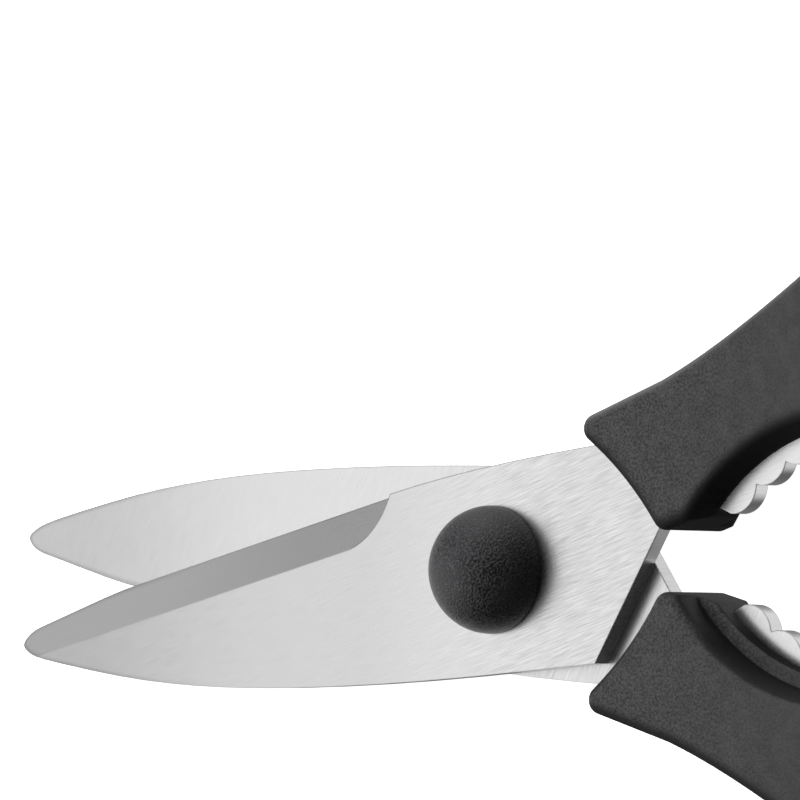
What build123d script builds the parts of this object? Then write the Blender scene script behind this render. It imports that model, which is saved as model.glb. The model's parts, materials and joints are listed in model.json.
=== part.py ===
from build123d import *
from math import atan2, cos, degrees, hypot, radians, sin, sqrt
import os

os.makedirs("parts", exist_ok=True)

# Kitchen shears that come apart, lying flat and slightly open. Millimetres and degrees.
# Each half is drawn closed, in a frame of its own: x runs from the pivot to the handle, y from
# the closing line to that half's handle, z out of the half's flat inner face.
# The rear half is the front half turned over about x.

# How the halves stand
open_angle = 9.59
release_angle = 100
handle_thickness = 14.0
blade_play = 0.06
overrun = 2.0

# Blade plate
blade_thickness = 2.5
blade_reach = 94.05
spine_depth = 15.1
shoulder_reach = 17.2
heel_reach = 20.2
heel_height = 12.7
nose_shares = [
    (0.7815, 0.457),
    (0.8506, 0.358),
    (0.9165, 0.250),
    (0.957, 0.185),
    (0.9846, 0.122),
    (0.9952, 0.063),
]
spine_shares = [
    (0.9895, 0.08),
    (0.962, 0.162),
    (0.905, 0.27),
    (0.742, 0.53),
    (0.572, 0.717),
    (0.405, 0.832),
    (0.16, 0.933),
]
back_shares = [(0.176, 0.129), (0.059, 0.127), (-0.059, 0.121), (-0.117, 0.116)]
tang_shares = (0.293, 0.129)
root_shares = (0.292, 0.052)

# Ground bevel on the blade's outer face
bevel_width = 5.9
edge_land = 0.25
bevel_run_out = 11.5
bevel_overhang = 2.7

# Jar grip: teeth on the tang, on an arc about a centre beyond the closing line
eye_shares = (0.5474, 0.1759)
tooth_count = 7
tooth_angle = 11.2
tooth_share = 0.25
tooth_depth = 1.4
teeth_mid_angle = 91.8
window_share = 0.2793
tang_hold = 3.8
tang_tail = 2.6
anchor_radius = 1.8
anchor_shares = [(0.274, 0.0905), (0.333, 0.08)]

# Handle
handle_reach = 116.0
span_share = 0.3776
collar_shares = [(0.1655, 0.1535), (0.2397, 0.0841), (0.2905, 0.0091)]
lobe_share = 0.0216
flank_share = 0.0103
outer_shares = [
    (0.312, 0.498),
    (0.440, 0.627),
    (0.534, 0.746),
    (0.647, 0.897),
    (0.759, 0.995),
    (0.862, 0.964),
    (0.948, 0.777),
    (0.996, 0.491),
    (0.978, 0.216),
    (0.914, 0.060),
]
flank_end_share = 0.853
collar_round_share = 0.0175
lobe_round_share = 0.0224
handle_round_share = 0.012
hole_round_share = 0.0258
hole_shares = [
    (0.574, 0.640),
    (0.605, 0.562),
    (0.672, 0.445),
    (0.741, 0.318),
    (0.800, 0.238),
    (0.853, 0.222),
    (0.900, 0.265),
    (0.926, 0.374),
    (0.922, 0.512),
    (0.893, 0.660),
    (0.838, 0.775),
    (0.766, 0.824),
    (0.688, 0.804),
    (0.619, 0.737),
]

# Recesses around the teeth: one level with the blade's outer face, one deeper on the other side
shallow_flare_share = 0.0112
deep_ledge = 2.5
deep_share = 0.3
deep_flare_share = 0.0026

# Stop pad on the inner flank of the finger loop
stop_share = 0.8276
stop_length = 8.0
stop_height = 6.0
stop_gap = 0.15

# Pivot: stud with a key head, nut, washer and cover
stud_radius = 4.0
stud_flats = 6.0
stud_clearance = 0.05
thread_radius = 2.5
thread_spare = 0.8
key_length = 14.0
key_width = 5.0
key_clearance = 0.25
key_play = 0.05
washer_radius = 7.0
washer_thickness = 1.2
nut_across = 8.0
nut_thickness = 3.2
cap_radius = 9.0
cap_height = 8.9
cap_wall = 1.6
cap_fit = 0.05

handle_span = handle_reach * span_share
lobe_height = handle_reach * lobe_share
flank_gap = handle_reach * flank_share
shallow_flare = handle_reach * shallow_flare_share
deep_flare = handle_reach * deep_flare_share
handle_round = handle_reach * handle_round_share
hole_round = handle_reach * hole_round_share
collar_round = handle_reach * collar_round_share
lobe_round = handle_reach * lobe_round_share
eye_reach = handle_reach * eye_shares[0]
eye_drop = handle_reach * eye_shares[1]
tooth_radius = handle_reach * tooth_share
window_radius = handle_reach * window_share
mid_height = handle_thickness / 2
half_angle = radians(open_angle / 2)
front_frame = Plane(
    origin=(0, 0, mid_height),
    x_dir=(cos(half_angle), sin(half_angle), 0),
    z_dir=(0, 0, 1),
)
rear_frame = Plane(
    origin=(0, 0, mid_height),
    x_dir=(cos(half_angle), -sin(half_angle), 0),
    z_dir=(0, 0, -1),
)


def around_eye(radius, angle):
    """A point at an angle on a circle about the jar grip's centre."""
    turn = radians(angle)
    return (eye_reach + radius * cos(turn), radius * sin(turn) - eye_drop)


def scaled(shares, reach, height):
    """Outline points from shares of a reach and a height."""
    return [(across * reach, up * height) for across, up in shares]


def plate_face(plane):
    """The blade and its tang seen flat: edge, nose, spine, slanted shoulder, teeth and back."""
    heel = (-heel_reach, heel_height)
    tip = (-blade_reach, 0)
    nose = scaled(nose_shares, -blade_reach, heel_height)
    spine = scaled(spine_shares, -blade_reach, -spine_depth)
    shoulder = (shoulder_reach, -spine_depth)
    root, tang = scaled([root_shares, tang_shares], handle_reach, handle_reach)
    cusp_radius = tooth_radius + tooth_depth
    first_angle = teeth_mid_angle + tooth_count * tooth_angle / 2
    last_angle = first_angle - tooth_count * tooth_angle
    hold_radius = window_radius + tang_hold
    start = around_eye(window_radius, first_angle + degrees(tooth_depth / window_radius) / 2)
    tail_angle = last_angle - degrees(tang_tail / window_radius)
    back = scaled(back_shares, handle_reach, handle_reach)
    with BuildSketch(plane) as face:
        with BuildLine():
            Line(heel, nose[0])
            Spline(*nose, tip, *spine, shoulder)
            Line(shoulder, root)
            Line(root, start)
            Line(start, around_eye(cusp_radius, first_angle))
            for tooth in range(tooth_count):
                angle = first_angle - tooth * tooth_angle
                ThreePointArc(
                    around_eye(cusp_radius, angle),
                    around_eye(tooth_radius, angle - tooth_angle / 2),
                    around_eye(cusp_radius, angle - tooth_angle),
                )
            tail = around_eye(hold_radius, tail_angle)
            end = around_eye(hold_radius, teeth_mid_angle + (first_angle - teeth_mid_angle) / 2)
            Polyline(
                around_eye(cusp_radius, last_angle),
                around_eye(window_radius, tail_angle),
                tail,
            )
            ThreePointArc(tail, around_eye(hold_radius, teeth_mid_angle), end)
            Line(end, tang)
            Spline(tang, *back, heel)
        make_face()
    return face.sketch


def bevel_face(frame):
    """The strip ground off along the cutting edge, on the tilted plane of the bevel."""
    nose_x, nose_y = scaled(nose_shares, -blade_reach, heel_height)[0]
    run_x = -heel_reach - nose_x
    run_y = heel_height - nose_y
    edge_length = hypot(run_x, run_y)
    along = Vector(run_x / edge_length, run_y / edge_length, 0)
    outward = Vector(-along.Y, along.X, 0)
    tilt = atan2(blade_thickness - edge_land, bevel_width)
    normal = outward * sin(tilt) + Vector(0, 0, 1) * cos(tilt)
    start = Vector(-heel_reach, heel_height, blade_play / 2 + edge_land)
    origin = frame.from_local_coords(start)
    plane = Plane(
        origin=origin,
        x_dir=frame.from_local_coords(start + along) - origin,
        z_dir=frame.from_local_coords(start + normal) - origin,
    )
    width = bevel_width / cos(tilt)
    far = -edge_length - blade_reach + heel_reach
    turn = bevel_overhang - bevel_run_out
    with BuildSketch(plane) as face:
        with BuildLine():
            Polyline(
                (bevel_overhang, 0),
                (bevel_overhang, overrun),
                (far, overrun),
                (far, -width - overrun),
                (turn, -width - overrun),
                (turn, -width),
            )
            TangentArc((turn, -width), (bevel_overhang, 0), tangent=(1, 0))
        make_face()
    return face.sketch


def handle_face(plane):
    """The handle seen flat, with its jar-grip window and rounded corners."""
    collar = scaled(collar_shares, handle_reach, handle_reach)
    flank_end = (handle_reach * flank_end_share, flank_gap)
    outer = scaled(outer_shares, handle_reach, handle_span)
    window_before = sqrt(window_radius**2 - (eye_drop + lobe_height) ** 2)
    window_after = sqrt(window_radius**2 - (eye_drop + flank_gap) ** 2)
    window_top = (eye_reach, window_radius - eye_drop)
    window_start = (eye_reach - window_before, lobe_height)
    window_end = (eye_reach + window_after, flank_gap)
    with BuildSketch(plane) as face:
        with BuildLine():
            Line(outer[0], collar[0])
            ThreePointArc(*collar)
            Line(collar[-1], window_start)
            ThreePointArc(window_start, window_top, window_end)
            Line(window_end, flank_end)
            Spline(flank_end, *reversed(outer))
        make_face()
        for corner in (collar[0], collar[-1]):
            fillet(face.vertices().sort_by_distance((*corner, 0))[0], collar_round)
        for corner in (window_start, window_end):
            fillet(face.vertices().sort_by_distance((*corner, 0))[0], lobe_round)
        with BuildLine():
            Spline(*scaled(hole_shares, handle_reach, handle_span), periodic=True)
        make_face(mode=Mode.SUBTRACT)
    return face.sketch


def plate(frame):
    """One blade plate without its pivot hole, ground, and drilled where the moulding locks in."""
    inner = frame.offset(blade_play / 2)
    with BuildPart() as body:
        extrude(plate_face(inner), amount=blade_thickness)
        extrude(bevel_face(frame), amount=2 * blade_thickness, mode=Mode.SUBTRACT)
        with BuildSketch(inner):
            with Locations(*scaled(anchor_shares, handle_reach, handle_reach)):
                Circle(anchor_radius)
        extrude(amount=blade_thickness, mode=Mode.SUBTRACT)
    return body.part


def flare(frame, radius, spread, low, high):
    """A cone about the jar grip that widens a recess from one level past the handle's face."""
    with BuildPart() as cone:
        for level, size in ((low, radius - spread), (2 * high - low, radius + spread)):
            with BuildSketch(frame.offset(level)):
                with Locations((eye_reach, -eye_drop)):
                    Circle(size)
        loft()
    return cone.part


def handle(frame):
    """One moulded handle before the tang is taken out of it."""
    half = handle_thickness / 2
    outer_face = blade_play / 2 + blade_thickness
    ledge_face = blade_play / 2 - deep_ledge
    shallow_radius = window_radius + shallow_flare
    deep_radius = handle_reach * deep_share
    shallow = flare(frame, shallow_radius, shallow_flare, outer_face, half)
    deep = flare(frame, deep_radius, deep_flare, ledge_face, -half)
    with BuildPart() as body:
        extrude(handle_face(frame), amount=half, both=True)
        add(shallow, mode=Mode.SUBTRACT)
        add(deep, mode=Mode.SUBTRACT)
        for end in (0, -1):
            rims = body.edges().group_by(Axis.Z)[end].sort_by_distance(hole_middle(frame))
            fillet(rims[1:], handle_round)
            rims = body.edges().group_by(Axis.Z)[end].sort_by_distance(hole_middle(frame))
            fillet(rims[0], hole_round)
        with BuildSketch(frame.offset(-stop_height / 2)):
            with Locations((handle_reach * stop_share, (flank_gap + flank_gap + stop_gap) / 2)):
                Rectangle(stop_length, flank_gap + flank_gap - stop_gap)
        extrude(amount=stop_height)
    return body.part


def hole_middle(frame):
    """The middle of the finger hole, where its two rims are nearest."""
    places = scaled(hole_shares, handle_reach, handle_span)
    across = sum(place[0] for place in places) / len(places)
    up = sum(place[1] for place in places) / len(places)
    return frame.from_local_coords(Vector(across, up, 0))


outer_level = blade_play / 2 + blade_thickness
key_level = outer_level + key_play
washer_level = outer_level + washer_thickness
key_thickness = mid_height - key_level
slot_angle = release_angle - 90

# Front blade, with a hole that keeps the stud from turning
with BuildPart() as front_blade:
    add(plate(front_frame))
    with BuildSketch(front_frame.offset(blade_play / 2)):
        Circle(stud_radius)
        Rectangle(stud_flats, 2 * stud_radius, mode=Mode.INTERSECT)
    extrude(amount=blade_thickness, mode=Mode.SUBTRACT)

# Rear blade, with the keyhole that the stud's head passes when the shears are opened wide
with BuildPart() as rear_blade:
    add(plate(rear_frame))
    with BuildSketch(rear_frame.offset(blade_play / 2)):
        Circle(stud_radius + stud_clearance)
        slot_length = key_length + 2 * key_clearance
        Rectangle(slot_length, key_width + 2 * key_clearance, rotation=-slot_angle)
    extrude(amount=blade_thickness, mode=Mode.SUBTRACT)

# Handles, moulded round the tangs
with BuildPart() as upper_handle:
    add(handle(front_frame))
    add(front_blade.part, mode=Mode.SUBTRACT)

with BuildPart() as lower_handle:
    add(handle(rear_frame))
    add(rear_blade.part, mode=Mode.SUBTRACT)

# Pivot stud: key head behind the rear blade, journal, flatted neck and threaded end
with BuildPart() as pivot_stud:
    with BuildSketch(front_frame.offset(-mid_height)):
        Circle(key_length / 2)
        Rectangle(key_width, key_length, mode=Mode.INTERSECT)
    extrude(amount=key_thickness)
    with BuildSketch(front_frame.offset(-key_level)):
        Circle(stud_radius)
    extrude(amount=key_level + blade_play / 2)
    with BuildSketch(front_frame.offset(blade_play / 2)):
        Circle(stud_radius)
        Rectangle(stud_flats, 2 * stud_radius, mode=Mode.INTERSECT)
    extrude(amount=blade_thickness)
    with BuildSketch(front_frame.offset(outer_level)):
        Circle(thread_radius)
    extrude(amount=washer_thickness + nut_thickness + thread_spare)

# Washer and nut that clamp the stud to the front blade
with BuildPart() as stud_washer:
    with BuildSketch(front_frame.offset(outer_level)):
        Circle(washer_radius)
        Circle(thread_radius, mode=Mode.SUBTRACT)
    extrude(amount=washer_thickness)

with BuildPart() as stud_nut:
    with BuildSketch(front_frame.offset(washer_level)):
        RegularPolygon(nut_across / 2, 6, major_radius=False)
        Circle(thread_radius, mode=Mode.SUBTRACT)
    extrude(amount=nut_thickness)

# Domed cover, gripping the washer's rim
with BuildPart() as pivot_cap:
    with BuildSketch(Plane(origin=front_frame.origin, x_dir=(1, 0, 0), z_dir=(0, -1, 0))):
        with BuildLine():
            Line((0, outer_level), (cap_radius, outer_level))
            Spline(
                *[
                    (cap_radius * cos(radians(turn)), outer_level + cap_height * sin(radians(turn)))
                    for turn in range(0, 91, 15)
                ]
            )
            Line((0, outer_level + cap_height), (0, outer_level))
        make_face()
    revolve(axis=Axis.Z)
    with BuildSketch(front_frame.offset(outer_level)):
        Circle(washer_radius)
    extrude(amount=washer_thickness, mode=Mode.SUBTRACT)
    with BuildSketch(front_frame.offset(washer_level)):
        Circle(washer_radius - cap_wall)
    extrude(amount=nut_thickness + thread_spare + cap_fit, mode=Mode.SUBTRACT)

pieces = {
    "front_blade": front_blade,
    "rear_blade": rear_blade,
    "upper_handle": upper_handle,
    "lower_handle": lower_handle,
    "pivot_stud": pivot_stud,
    "stud_washer": stud_washer,
    "stud_nut": stud_nut,
    "pivot_cap": pivot_cap,
}
for name, piece in pieces.items():
    piece.part.label = name
    export_step(piece.part, f"parts/{name}.step")
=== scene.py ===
import json
from math import cos, pi, radians, sin

import bmesh
import bpy
import numpy as np
from bpy.props import FloatProperty, FloatVectorProperty, PointerProperty
from mathutils import Matrix, Vector


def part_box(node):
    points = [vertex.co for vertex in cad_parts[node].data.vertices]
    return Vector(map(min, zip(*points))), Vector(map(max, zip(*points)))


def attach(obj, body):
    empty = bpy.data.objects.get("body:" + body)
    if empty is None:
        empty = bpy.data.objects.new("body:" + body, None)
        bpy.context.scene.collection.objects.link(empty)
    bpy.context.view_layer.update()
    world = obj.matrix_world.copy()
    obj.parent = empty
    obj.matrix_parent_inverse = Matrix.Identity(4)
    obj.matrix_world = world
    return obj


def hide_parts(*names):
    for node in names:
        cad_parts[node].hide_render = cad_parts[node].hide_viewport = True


bl_info = {
    "name": "Kitchen Shears",
    "version": (1, 0, 0),
    "blender": (4, 5, 0),
    "location": "3D View > Sidebar > Shears",
    "description": "Dresses the take-apart kitchen shears: steel, grained handles and pivot cover",
    "category": "Object",
}

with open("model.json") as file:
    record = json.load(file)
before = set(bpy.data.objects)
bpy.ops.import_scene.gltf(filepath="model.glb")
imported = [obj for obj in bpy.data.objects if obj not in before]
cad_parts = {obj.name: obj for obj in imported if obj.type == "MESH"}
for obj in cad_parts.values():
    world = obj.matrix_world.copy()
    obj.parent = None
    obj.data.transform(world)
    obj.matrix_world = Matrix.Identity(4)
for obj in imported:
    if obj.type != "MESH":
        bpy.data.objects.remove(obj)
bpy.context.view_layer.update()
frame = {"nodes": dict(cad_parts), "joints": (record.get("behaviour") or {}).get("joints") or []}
NODES = frame["nodes"]
HINGE = frame["joints"][0]
OPENING = radians(-HINGE["range_deg"][0])
MILLIMETRE = 0.001

# Where the looks change, between two places in the shears' own frame.
# Along x, from the tips past the pivot to the handles
TIP_FADE = (-90 * MILLIMETRE, -30 * MILLIMETRE)
# NOSE_FADE is where the blades' painted rim shade fades out
NOSE_FADE = (-80 * MILLIMETRE, -50 * MILLIMETRE)
ROOT_FADE = (-28 * MILLIMETRE, 8 * MILLIMETRE)
BRUSH_START = (-20 * MILLIMETRE, 10 * MILLIMETRE)
BRUSH_END = (40 * MILLIMETRE, 46 * MILLIMETRE)
GRAIN_FADE = (28 * MILLIMETRE, 62 * MILLIMETRE)
# Along y, into the upper and the lower handle, for the painted rim highlight and recess shade
UPPER_SIDE = (0, 10 * MILLIMETRE)
LOWER_SIDE = (-12 * MILLIMETRE, -8 * MILLIMETRE)
# Up to the handles' top face, for the painted rim highlight
TOP_RIM = (11.5 * MILLIMETRE, 12.8 * MILLIMETRE)

# Soft light that only reflections show: direction, full within, gone past (degrees), strength
LOBES = {
    "behind_tips": ((-0.74, -0.20, 0.64), 20, 52, 0.92),
    "upper_side": ((-0.1, 0.8, 0.55), 15, 44, 0.52),
    "upper_low": ((-0.2, 0.95, -0.15), 20, 50, 0.7),
    "far_corner": ((0.62, 0.68, 0.34), 15, 40, 0.15),
    "near_corner": ((0.68, -0.68, 0.22), 12, 36, 0.2),
    "below_handles": ((0.616, 0.224, -0.754), 36, 58, 0.75),
    "below": ((0, 0, -1), 50, 95, 0.12),
    "below_tips": ((-0.8, 0, -0.5), 30, 72, 0.08),
}
ROOM_LEVEL = 0.005


# Shader maths: a socket that can be added, multiplied and so on
class Link:
    """An output socket, or what several of them work out to."""

    def __init__(self, tree, socket):
        self.tree = tree
        self.socket = socket

    def sum(self, operation, first, second):
        """A Math node on two numbers or links."""
        return self.tree.node("ShaderNodeMath", {"operation": operation}, {0: first, 1: second})

    def __add__(self, other):
        return self.sum("ADD", self, other)

    __radd__ = __add__

    def __sub__(self, other):
        return self.sum("SUBTRACT", self, other)

    def __rsub__(self, other):
        return self.sum("SUBTRACT", other, self)

    def __mul__(self, other):
        return self.sum("MULTIPLY", self, other)

    __rmul__ = __mul__

    def ramp(self, low, high, start=0.0, end=1.0):
        """A smooth step from start to end while the value goes from low to high."""
        settings = {"interpolation_type": "SMOOTHSTEP"}
        sockets = {"Value": self, "From Min": low, "From Max": high, "To Min": start, "To Max": end}
        return self.tree.node("ShaderNodeMapRange", settings, sockets)


class Tree:
    """A node tree that is filled by short calls."""

    def __init__(self, tree):
        self.nodes = tree.nodes
        self.links = tree.links

    def node(self, kind, settings, sockets, output=0):
        """Adds a node, makes its settings, then feeds its sockets with values or links."""
        made = self.nodes.new(kind)
        for name, value in settings.items():
            setattr(made, name, value)
        for name, value in sockets.items():
            self.feed(made.inputs[name], value)
        return Link(self, made.outputs[output])

    def dot(self, first, second):
        """The dot product of two vectors or links."""
        settings = {"operation": "DOT_PRODUCT"}
        return self.node("ShaderNodeVectorMath", settings, {0: first, 1: second}, "Value")

    def feed(self, socket, value):
        """Sets a socket to a value, or joins a link to it."""
        if isinstance(value, Link):
            self.links.new(value.socket, socket)
        else:
            socket.default_value = value

    def grey(self, factor, first, second):
        """A colour between two greys."""
        return self.blend(factor, (first,) * 3, (second,) * 3)

    def blend(self, factor, first, second):
        """A colour between two colours, whose sockets are a Mix node's seventh and eighth."""
        made = self.nodes.new("ShaderNodeMix")
        made.data_type = "RGBA"
        self.feed(made.inputs[0], factor)
        for place, value in ((6, first), (7, second)):
            self.feed(made.inputs[place], value if isinstance(value, Link) else (*value, 1.0))
        return Link(self, made.outputs[2])


class Finish(Tree):
    """A material and the nodes that it is made of."""

    def __init__(self, name):
        self.material = bpy.data.materials.new(name)
        self.material.use_nodes = True
        super().__init__(self.material.node_tree)
        self.shader = self.nodes["Principled BSDF"]

    def set(self, **sockets):
        """Feeds the Principled shader's sockets, with _ for a space in their names."""
        for name, value in sockets.items():
            self.feed(self.shader.inputs[name.replace("_", " ")], value)

    def place(self):
        """Object coordinates, in metres in the shears' own frame."""
        return self.node("ShaderNodeTexCoord", {}, {}, "Object")

    def facing(self):
        """The surface's own normal in the shears' frame."""
        return self.node("ShaderNodeTexCoord", {}, {}, "Normal")

    def noise(self, vector, scale, detail, roughness):
        """Noise from 0 to 1 at a scale in cycles per unit of its vector."""
        sockets = {"Vector": vector, "Scale": scale, "Detail": detail, "Roughness": roughness}
        return self.node("ShaderNodeTexNoise", {"noise_dimensions": "3D"}, sockets, "Fac")

    def streaks(self, angle, length, width, detail, roughness):
        """Noise drawn out into lines of a length and a width, at an angle about z."""
        settings = {"vector_type": "POINT"}
        turn = {"Vector": self.place(), "Rotation": (0, 0, -angle)}
        turned = self.node("ShaderNodeMapping", settings, turn)
        stretch = {"Vector": turned, "Scale": (1 / length, 1 / width, 1)}
        stretched = self.node("ShaderNodeMapping", settings, stretch)
        return self.noise(stretched, 1.0, detail, roughness)

    def along(self, vector, axis):
        """One axis of a vector."""
        return self.node("ShaderNodeSeparateXYZ", {}, {"Vector": vector}, axis)

    def rounded(self, rim):
        """The surface's normal, as if its edges were rounded this far in."""
        fineness = 6
        return self.node("ShaderNodeBevel", {"samples": fineness}, {"Radius": rim})

    def leaning(self, rim):
        """The rounded normal in the shears' own frame."""
        settings = {"vector_type": "NORMAL", "convert_from": "WORLD", "convert_to": "OBJECT"}
        return self.node("ShaderNodeVectorTransform", settings, {"Vector": self.rounded(rim)})

    def bump(self, height, strength, distance, rim):
        """Bumps of a height on rims that look rounded, as a normal for the shader."""
        sockets = {
            "Height": height,
            "Strength": strength,
            "Distance": distance,
            "Normal": self.rounded(rim),
        }
        self.set(Normal=self.node("ShaderNodeBump", {}, sockets, "Normal"))


# Sizes and colours that a user would change
class SteelSettings(bpy.types.PropertyGroup):
    light: FloatVectorProperty(
        name="Steel", description="Colour of the brushed steel", subtype="COLOR",
        default=(0.95, 0.95, 0.95),
    )
    streak: FloatVectorProperty(
        name="Streaks", description="Colour in the brushed lines", subtype="COLOR",
        default=(0.64, 0.64, 0.64),
    )
    roughness: FloatProperty(
        name="Roughness", description="How dull the brushed steel is", default=0.32, min=0, max=1
    )
    streak_width: FloatProperty(
        name="Streak width", description="Width of one brushed line", default=0.17 * MILLIMETRE,
        unit="LENGTH",
    )
    streak_length: FloatProperty(
        name="Streak length", description="Length of one brushed line", default=5.0 * MILLIMETRE,
        unit="LENGTH",
    )
    front_lean: FloatProperty(
        name="Front lean", description="Angle from the front blade to its brushed lines",
        default=radians(12), subtype="ANGLE",
    )
    rear_lean: FloatProperty(
        name="Rear lean", description="Angle from the rear blade to its brushed lines",
        default=radians(64), subtype="ANGLE",
    )
    rim: FloatProperty(
        name="Rim", description="How far in the blades' rims look rounded",
        default=0.30 * MILLIMETRE, unit="LENGTH",
    )


class HandleSettings(bpy.types.PropertyGroup):
    plastic: FloatVectorProperty(
        name="Plastic", description="Colour of the handles", subtype="COLOR",
        default=(0.014, 0.014, 0.015),
    )
    bloom: FloatVectorProperty(
        name="Bloom", description="Colour where the grain is worn paler", subtype="COLOR",
        default=(0.076, 0.076, 0.078),
    )
    # Painted highlight: the colour painted on the upper handle's outer rim
    pale: FloatVectorProperty(
        name="Pale rim", description="Colour of the upper handle's outer rim", subtype="COLOR",
        default=(0.19, 0.19, 0.19),
    )
    roughness: FloatProperty(
        name="Roughness", description="How dull the grained plastic is", default=0.52, min=0, max=1
    )
    grain: FloatProperty(
        name="Grain", description="Size of one grain", default=0.36 * MILLIMETRE, unit="LENGTH"
    )
    grain_depth: FloatProperty(
        name="Grain depth", description="Depth of the grain", default=0.05 * MILLIMETRE,
        unit="LENGTH",
    )
    rim: FloatProperty(
        name="Rim", description="How far in the handles' rims look rounded",
        default=0.9 * MILLIMETRE, unit="LENGTH",
    )


class CoverSettings(bpy.types.PropertyGroup):
    plastic: FloatVectorProperty(
        name="Plastic", description="Colour of the pivot cover", subtype="COLOR",
        default=(0.005, 0.005, 0.0055),
    )
    roughness: FloatProperty(
        name="Roughness", description="How dull the cover is", default=0.30, min=0, max=1
    )
    rim_round: FloatProperty(
        name="Rim", description="Rounding of the rim on the blade", default=0.35 * MILLIMETRE,
        unit="LENGTH",
    )
    grain: FloatProperty(
        name="Grain", description="Size of one grain", default=0.30 * MILLIMETRE, unit="LENGTH"
    )
    grain_depth: FloatProperty(
        name="Grain depth", description="Depth of the grain", default=0.08 * MILLIMETRE,
        unit="LENGTH",
    )


class StageSettings(bpy.types.PropertyGroup):
    floor: FloatVectorProperty(
        name="Floor", description="Colour of the floor", subtype="COLOR", default=(1, 1, 1)
    )
    distance: FloatProperty(
        name="Distance", description="From the pivot to the camera", default=1.0, unit="LENGTH"
    )
    tilt: FloatProperty(
        name="Tilt", description="Camera's lean from overhead towards the handles",
        default=radians(41.03), subtype="ANGLE",
    )
    swing: FloatProperty(
        name="Swing", description="Camera's swing about the pivot", default=radians(-2.73),
        subtype="ANGLE",
    )
    roll: FloatProperty(
        name="Roll", description="Camera's roll", default=radians(-0.99), subtype="ANGLE"
    )
    lens: FloatProperty(
        name="Lens", description="Focal length on a 36 mm sensor", default=320.64, min=1
    )


# Surfaces worked out with numpy
def turned_surface(name, profile, steps):
    """A profile of (radius, height) points turned about z: x = radius cos a, y = radius sin a."""
    angles = np.linspace(0, 2 * pi, steps, endpoint=False)
    radius, height = np.asarray(profile, float).T
    grid = np.stack(
        [
            np.outer(radius, np.cos(angles)),
            np.outer(radius, np.sin(angles)),
            np.repeat(height[:, None], steps, axis=1),
        ],
        axis=-1,
    )
    rows, columns = np.indices((len(radius) - 1, steps))
    here = rows * steps + columns
    beside = rows * steps + (columns + 1) % steps
    faces = np.stack([here, beside, beside + steps, here + steps], axis=-1).reshape(-1, 4)
    mesh = bpy.data.meshes.new(name)
    mesh.from_pydata(grid.reshape(-1, 3).tolist(), [], faces.tolist())
    shell = bmesh.new()
    shell.from_mesh(mesh)
    same_place = MILLIMETRE / 1000
    bmesh.ops.remove_doubles(shell, verts=shell.verts, dist=same_place)
    bmesh.ops.recalc_face_normals(shell, faces=shell.faces)
    shell.to_mesh(mesh)
    shell.free()
    mesh.polygons.foreach_set("use_smooth", np.ones(len(mesh.polygons), bool))
    piece = bpy.data.objects.new(name, mesh)
    bpy.context.scene.collection.objects.link(piece)
    return piece


def rounded_look(node):
    """Smooth shading on a CAD node: its loose triangles are welded, and split at sharp edges."""
    same_place = MILLIMETRE / 500
    sharp_edge = radians(16)
    piece = NODES[node]
    flags = np.ones(len(piece.data.polygons), bool)
    piece.data.polygons.foreach_set("use_smooth", flags)
    weld = piece.modifiers.new("Weld", "WELD")
    weld.merge_threshold = same_place
    split = piece.modifiers.new("Split", "EDGE_SPLIT")
    split.split_angle = sharp_edge
    return piece


def dress(piece, material):
    """Gives every face of a piece one material."""
    piece.data.materials.clear()
    piece.data.materials.append(material)


# Materials
def brushed_steel(name, angle, tip, middle):
    """Brushed steel: fine lines at an angle by the pivot, soft and duller towards the tip.

    tip and middle are how much of the steel's colour is left there, as painted shade. Upright walls
    are darker, and so are the rims by the tip, both as painted shade.
    """
    look = bpy.context.scene.shears_steel
    # Painted shade: the colour left on upright walls, and the share taken off the rims by the tip
    painted_wall_shade, rim_shade = 0.82, 0.35
    shaded_rim_width = 4.5 * look.rim
    tip_roughness, root_roughness = 0.58, look.roughness - 0.05
    streak_depth = 0.004 * MILLIMETRE
    steel = Finish(name)
    fine = steel.streaks(angle, look.streak_length, look.streak_width, 3.0, 0.7)
    broad = steel.streaks(angle, look.streak_length, 2 * look.streak_width, 2.0, 0.5)
    lines = fine.ramp(0.35, 0.72)
    streaks = lines * 0.7 + broad.ramp(0.3, 0.7) * 0.3
    place = steel.along(steel.place(), "X")
    brushed = place.ramp(*BRUSH_START, 0.12, 1.0) * place.ramp(*BRUSH_END, 1.0, 0.1)
    # Painted shade: tip and middle lower the steel's colour away from the pivot
    level = place.ramp(*TIP_FADE, tip, middle) + place.ramp(*ROOT_FADE, 0.0, 1.0 - middle)
    facing = steel.facing()
    upright = steel.along(facing, "Z")
    # Painted shade: upright walls are darker
    wall = (upright * upright).ramp(0.2, 0.7, painted_wall_shade, 1.0)
    # Painted shade: the rims by the tip are darker where their rounded look leans away from the
    # face; worn and rim mark it
    worn = steel.dot(facing, steel.leaning(shaded_rim_width)).ramp(0.80, 1.0, 1.0, 0.0)
    rim = worn * place.ramp(*NOSE_FADE, rim_shade, 0.0)
    # The steel's colour with the painted shade of the levels, the walls and the rims
    light = steel.blend(level * wall * (1 - rim), (0, 0, 0), tuple(look.light))
    steel.set(
        Base_Color=steel.blend(streaks * brushed, light, tuple(look.streak)),
        Metallic=1.0,
        Roughness=lines * 0.08 + place.ramp(*TIP_FADE, tip_roughness, root_roughness),
    )
    steel.bump(lines, 0.12, streak_depth, look.rim)
    return steel.material


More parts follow.
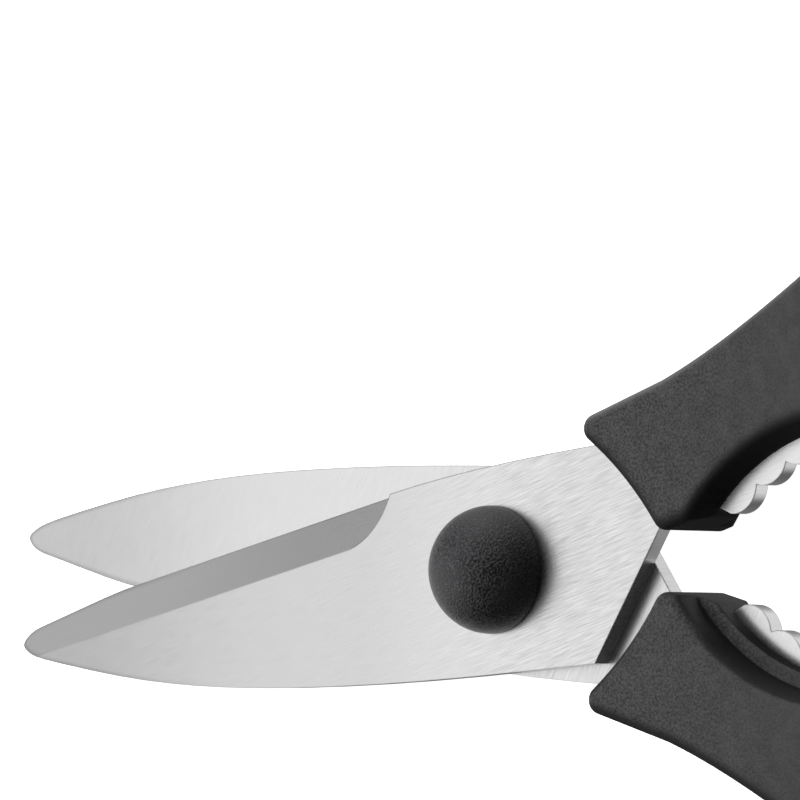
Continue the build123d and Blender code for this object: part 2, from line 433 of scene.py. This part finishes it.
def grained_plastic(name):
    """Moulded plastic with a spark grain, sharp by the blades and worn smooth further back.

    Upright walls, rims that lean to -y and the lower handle's recess get painted shade, and the
    upper handle's outer rim gets a painted highlight.
    """
    look = bpy.context.scene.shears_handle
    shaded_lean = (-0.28, -0.04)
    shaded_roughness, recess_roughness = 0.85, 0.35
    rim_width = 2.6 * look.rim
    cloud = 6 * look.grain
    plastic = Finish(name)
    place = plastic.place()
    across = plastic.along(place, "Y")
    facing = plastic.facing()
    upright = plastic.along(facing, "Z")
    lean = plastic.along(plastic.leaning(rim_width), "Y")
    grain = plastic.noise(place, 1 / look.grain, 3.0, 0.65).ramp(0.32, 0.68)
    clouds = plastic.noise(place, 1 / cloud, 2.0, 0.5).ramp(0.25, 0.75)
    fresh = plastic.along(place, "X").ramp(*GRAIN_FADE, 1.0, 0.28)
    top = plastic.along(place, "Z").ramp(*TOP_RIM)
    # Painted highlight: the upper handle's outer rim, leaning to +y near the top face, is paler
    rim = lean.ramp(0.30, 0.68) * top * across.ramp(*UPPER_SIDE)
    # Painted shade: upright walls are darker
    wall = (upright * upright).ramp(0.1, 0.7, 0.35, 1.0)
    # Painted shade: rims that lean to -y are darker
    shade = lean.ramp(*shaded_lean, 0.15, 1.0) * wall
    # Painted shade: the lower handle's recess walls that face +y are darker
    recess = plastic.along(facing, "Y").ramp(0.05, 0.45) * across.ramp(*LOWER_SIDE, 1.0, 0.0)
    speckle = (grain - 0.5) * fresh * 1.2 + (clouds - 0.5) * 0.25 + 0.5
    # The grain's own speckle, darkened by the painted shade
    level = speckle * shade * (1 - recess * 0.8)
    # worn is the grain's colour with the painted shade in it
    worn = plastic.blend(level, tuple(look.plastic), tuple(look.bloom))
    dulled = lean.ramp(*shaded_lean, shaded_roughness, look.roughness) + recess * recess_roughness
    plastic.set(
        Base_Color=plastic.blend(rim, worn, tuple(look.pale)),
        Roughness=grain * 0.08 + dulled,
    )
    plastic.bump(grain * fresh, 0.5, look.grain_depth, look.rim)
    return plastic.material


def cover_plastic(name):
    """The pivot cover's darker plastic, with paler specks that are painted glints of its grain."""
    look = bpy.context.scene.shears_cover
    painted_glint_gain = 13
    plastic = Finish(name)
    grain = plastic.noise(plastic.place(), 1 / look.grain, 2.0, 0.5).ramp(0.38, 0.70)
    # Painted glints: the specks' colour, far paler than the plastic
    pale = tuple(painted_glint_gain * channel for channel in look.plastic)
    plastic.set(
        Base_Color=plastic.blend(grain, tuple(look.plastic), pale),
        Roughness=grain * 0.06 + look.roughness,
        Specular_IOR_Level=0.8,
    )
    plastic.bump(grain, 1.0, look.grain_depth, look.rim_round)
    return plastic.material


def turned_steel(name):
    """Plain turned steel for the stud, washer and nut."""
    mark_size, mark_depth, rim = 0.5 * MILLIMETRE, 0.01 * MILLIMETRE, 0.3 * MILLIMETRE
    light, dark = (0.62, 0.62, 0.63), (0.50, 0.50, 0.51)
    steel = Finish(name)
    marks = steel.noise(steel.place(), 1 / mark_size, 3.0, 0.6)
    steel.set(
        Base_Color=steel.blend(marks, light, dark),
        Metallic=1.0,
        Roughness=marks * 0.15 + 0.28,
    )
    steel.bump(marks, 0.1, mark_depth, rim)
    return steel.material


def floor_white(name, colour):
    """A pale studio floor that shines by itself, so that it is the same white everywhere."""
    white = Finish(name)
    white.set(
        Base_Color=(*colour, 1.0), Roughness=0.9, Emission_Color=(*colour, 1.0),
        Emission_Strength=1.0,
    )
    return white.material


class SHEARS_OT_blades(bpy.types.Operator):
    """Dress both steel blades"""

    bl_idname = "shears.blades"
    bl_label = "Blades"

    def execute(self, context):
        look = context.scene.shears_steel
        # The levels are painted shade: the front blade's steel is painted darker than the rear's
        front = brushed_steel("brushed_front", look.front_lean + OPENING / 2, 0.85, 0.80)
        rear = brushed_steel("brushed_rear", look.rear_lean - OPENING / 2, 1.0, 0.92)
        dress(rounded_look("front_blade"), front)
        dress(rounded_look("rear_blade"), rear)
        return {"FINISHED"}


class SHEARS_OT_handles(bpy.types.Operator):
    """Dress both moulded handles"""

    bl_idname = "shears.handles"
    bl_label = "Handles"

    def execute(self, context):
        plastic = grained_plastic("grained_handle")
        for node in ("upper_handle", "lower_handle"):
            dress(rounded_look(node), plastic)
        return {"FINISHED"}


class SHEARS_OT_cover(bpy.types.Operator):
    """Make the domed pivot cover"""

    bl_idname = "shears.cover"
    bl_label = "Pivot cover"

    def execute(self, context):
        look = context.scene.shears_cover
        low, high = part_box("pivot_cap")
        washer_low, washer_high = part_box("stud_washer")
        stud_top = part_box("pivot_stud")[1].z
        radius = (high.x - low.x) / 2
        height = high.z - low.z
        seat = (washer_high.x - washer_low.x) / 2
        wall, fit = 1.6 * MILLIMETRE, 0.05 * MILLIMETRE
        ceiling = stud_top + fit
        rim = look.rim_round
        dome_rings, rim_rings, ring_points = 41, 7, 128
        dome = [
            (radius * cos(turn), low.z + rim + (height - rim) * sin(turn))
            for turn in np.linspace(pi / 2, 0, dome_rings)
        ]
        fillet = [
            (radius - rim + rim * cos(turn), low.z + rim - rim * sin(turn))
            for turn in np.linspace(0, pi / 2, rim_rings)[1:]
        ]
        hollow = [
            (seat, low.z),
            (seat, washer_high.z),
            (seat - wall, washer_high.z),
            (seat - wall, ceiling),
            (0, ceiling),
        ]
        cover = turned_surface("domed_cover", dome + fillet + hollow, ring_points)
        dress(cover, cover_plastic("cover_plastic"))
        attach(cover, "front_half")
        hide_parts("pivot_cap")
        return {"FINISHED"}


class SHEARS_OT_pivot(bpy.types.Operator):
    """Dress the stud, its washer and its nut"""

    bl_idname = "shears.pivot"
    bl_label = "Pivot"

    def execute(self, context):
        steel = turned_steel("turned_steel")
        for node in ("pivot_stud", "stud_washer", "stud_nut"):
            dress(rounded_look(node), steel)
        return {"FINISHED"}


class SHEARS_OT_stage(bpy.types.Operator):
    """Set the floor, the lights and the camera"""

    bl_idname = "shears.stage"
    bl_label = "Stage"

    def execute(self, context):
        look = context.scene.shears_stage
        context.scene.view_settings.view_transform = "Standard"
        add_floor(look)
        add_room()
        add_key()
        add_camera(look)
        return {"FINISHED"}


def add_floor(look):
    """A wide flat floor that the shears lie on."""
    half = 3.0
    mesh = bpy.data.meshes.new("studio_floor")
    corners = [(-half, -half, 0), (half, -half, 0), (half, half, 0), (-half, half, 0)]
    mesh.from_pydata(corners, [], [(0, 1, 2, 3)])
    floor = bpy.data.objects.new("studio_floor", mesh)
    bpy.context.scene.collection.objects.link(floor)
    dress(floor, floor_white("studio_white", tuple(look.floor)))
    floor.visible_diffuse = False
    floor.visible_glossy = False


def glow(tree, heading, toward, inner, outer):
    """A soft lobe of light: 1 within an angle of a direction, 0 past a wider angle."""
    facing = tree.dot(heading, tuple(Vector(toward).normalized()))
    return facing.ramp(cos(radians(outer)), cos(radians(inner)))


def add_room():
    """A studio room of soft lobes, which light reflections alone."""
    world = bpy.data.worlds.new("studio_room")
    world.use_nodes = True
    bpy.context.scene.world = world
    room = Tree(world.node_tree)
    heading = room.node("ShaderNodeTexCoord", {}, {}, "Generated")
    level = ROOM_LEVEL
    for toward, inner, outer, strength in LOBES.values():
        level = glow(room, heading, toward, inner, outer) * strength + level
    background = world.node_tree.nodes["Background"]
    room.feed(background.inputs["Color"], room.grey(level, 0.0, 1.0))
    world.cycles_visibility.diffuse = False


def add_key():
    """A round lamp above the tips, which lights all but reflections."""
    key = bpy.data.lights.new("key_panel", "AREA")
    key.shape = "DISK"
    key.size = 0.9
    key.energy = 16
    lamp = bpy.data.objects.new("key_panel", key)
    lamp.location = (-0.52, 0.40, 0.95)
    lamp.rotation_euler = (-lamp.location).to_track_quat("-Z", "Y").to_euler()
    lamp.visible_glossy = False
    bpy.context.scene.collection.objects.link(lamp)


def add_camera(look):
    """The photograph's view: the pivot stands at a named pixel, seen from a tilt and a swing."""
    pivot_pixel = (504.66, 569.88)
    frame_size = 800
    sensor = 36.0
    farthest = 20.0
    pivot = Vector(HINGE["pos_m"])
    away = Vector(
        (
            sin(look.tilt) * cos(look.swing),
            sin(look.tilt) * sin(look.swing),
            cos(look.tilt),
        )
    )
    right = (-away).cross(Vector((0, 1, 0))).normalized()
    up = right.cross(-away)
    turned_right = right * cos(look.roll) + up * sin(look.roll)
    turned_up = up * cos(look.roll) - right * sin(look.roll)
    focal = look.lens / sensor * frame_size
    aim = Vector(
        ((pivot_pixel[0] - frame_size / 2) / focal, (frame_size / 2 - pivot_pixel[1]) / focal, -1)
    )
    facing = Matrix((turned_right, turned_up, away)).transposed().to_quaternion()
    offset = Vector((0, 0, -1)).rotation_difference(aim)
    data = bpy.data.cameras.new("photo_camera")
    data.sensor_width = sensor
    data.lens = look.lens
    data.clip_end = farthest
    camera = bpy.data.objects.new("photo_camera", data)
    camera.rotation_mode = "QUATERNION"
    camera.location = pivot + away * look.distance
    camera.rotation_quaternion = facing @ offset.inverted()
    bpy.context.scene.collection.objects.link(camera)
    bpy.context.scene.camera = camera


class SHEARS_PT_sidebar(bpy.types.Panel):
    """Buttons that make the pieces of the shears, and their settings"""

    bl_label = "Kitchen shears"
    bl_idname = "SHEARS_PT_sidebar"
    bl_space_type = "VIEW_3D"
    bl_region_type = "UI"
    bl_category = "Shears"

    def draw(self, context):
        for operator in OPERATORS:
            self.layout.operator(operator.bl_idname)
        for name in SETTINGS:
            group = getattr(context.scene, name)
            for value in group.__annotations__:
                self.layout.prop(group, value)


SETTINGS = {
    "shears_steel": SteelSettings,
    "shears_handle": HandleSettings,
    "shears_cover": CoverSettings,
    "shears_stage": StageSettings,
}
OPERATORS = (
    SHEARS_OT_blades,
    SHEARS_OT_handles,
    SHEARS_OT_cover,
    SHEARS_OT_pivot,
    SHEARS_OT_stage,
)


def register():
    for group in (*SETTINGS.values(), *OPERATORS, SHEARS_PT_sidebar):
        bpy.utils.register_class(group)
    for name, group in SETTINGS.items():
        setattr(bpy.types.Scene, name, PointerProperty(type=group))


def unregister():
    for name in SETTINGS:
        delattr(bpy.types.Scene, name)
    for group in (SHEARS_PT_sidebar, *reversed(OPERATORS), *SETTINGS.values()):
        bpy.utils.unregister_class(group)


def main():
    """Makes every piece in order."""
    register()
    bpy.ops.shears.blades()
    bpy.ops.shears.handles()
    bpy.ops.shears.cover()
    bpy.ops.shears.pivot()
    bpy.ops.shears.stage()


if __name__ == "__main__":
    main()
